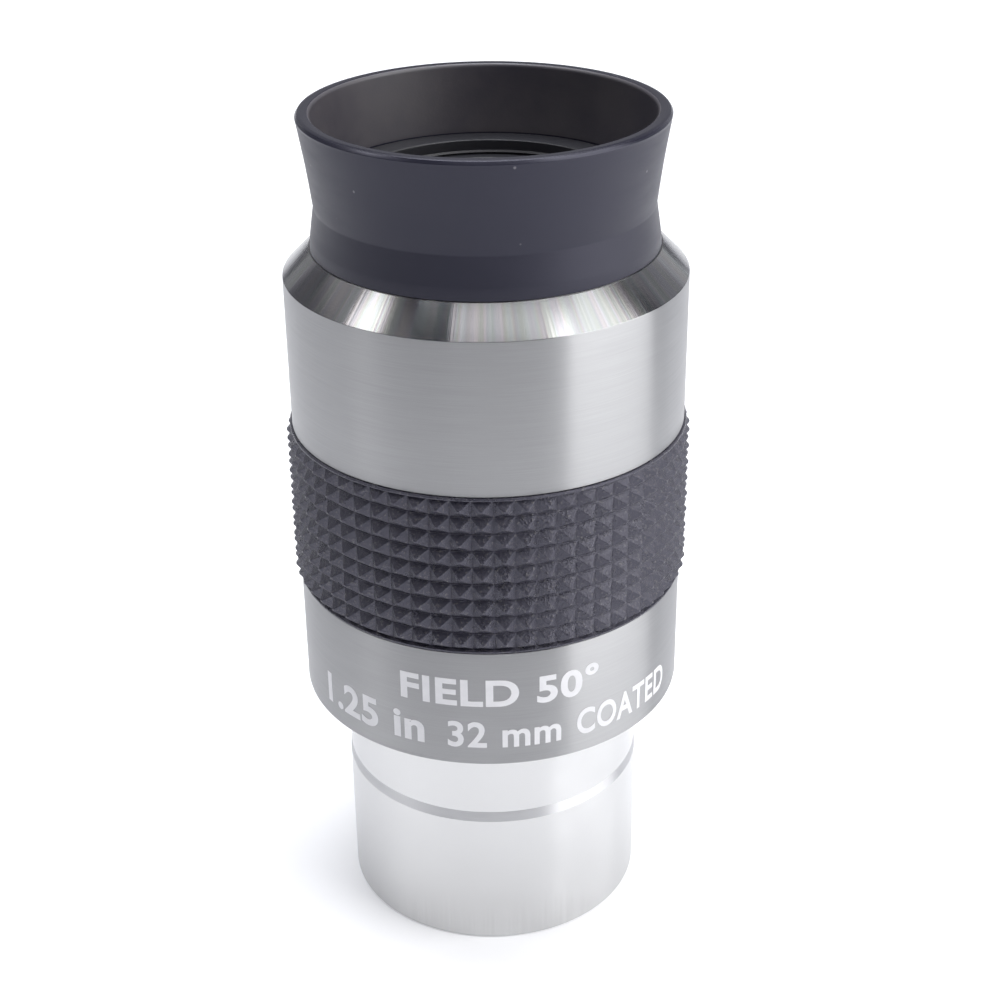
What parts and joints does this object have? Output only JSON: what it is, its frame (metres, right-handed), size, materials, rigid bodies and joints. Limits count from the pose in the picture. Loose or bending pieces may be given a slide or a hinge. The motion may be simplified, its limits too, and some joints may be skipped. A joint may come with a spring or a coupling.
{
  "type": "telescope eyepiece",
  "caption": "Push-fit telescope eyepiece: chromed barrel, brushed steel body with a pyramid-patterned rubber grip, lens doublets and a fold-down rubber eyecup.",
  "frame": {"origin": "on the optical axis, at the open end face of the barrel", "axes": "+Z along the optical axis, from the barrel's open end towards the eye; X and Y are across it"},
  "size_m": [0.0412, 0.0412, 0.0872],
  "materials": {
    "polished_chrome": "polished chrome plate",
    "brushed_steel": "satin, with fine brushing round the axis",
    "black_anodised": "matte black anodising",
    "grip_rubber": "moulded rubber",
    "eyecup_rubber": "smooth matte rubber",
    "coated_glass": "clear, with an anti-reflection coating"
  },
  "bodies": {
    "optics": {"nosepiece_barrel": "polished_chrome", "field_stop_ring": "black_anodised", "lower_housing": "brushed_steel", "upper_housing": "brushed_steel", "grip_band": "grip_rubber", "lens_cell": "black_anodised", "eye_lens_flint": "coated_glass", "eye_lens_crown": "coated_glass", "field_lens_crown": "coated_glass", "field_lens_flint": "coated_glass", "spacer_ring": "black_anodised", "eye_retaining_ring": "black_anodised", "field_retaining_ring": "black_anodised"},
    "eyecup": {"eyecup_collar": "eyecup_rubber"},
    "skirt": {"eyecup_skirt": "eyecup_rubber"}
  },
  "joints": [
    {"name": "eyecup_turn", "type": "hinge", "parent": "optics", "child": "eyecup", "pos_m": [0, 0, 0.077], "axis": [0, 0, 1], "continuous": true},
    {"name": "eyecup_fold", "type": "slide", "parent": "eyecup", "child": "skirt", "axis": [0, 0, -1], "range_m": [0, 0.0126], "deforming": ["eyecup_skirt"]}
  ]
}
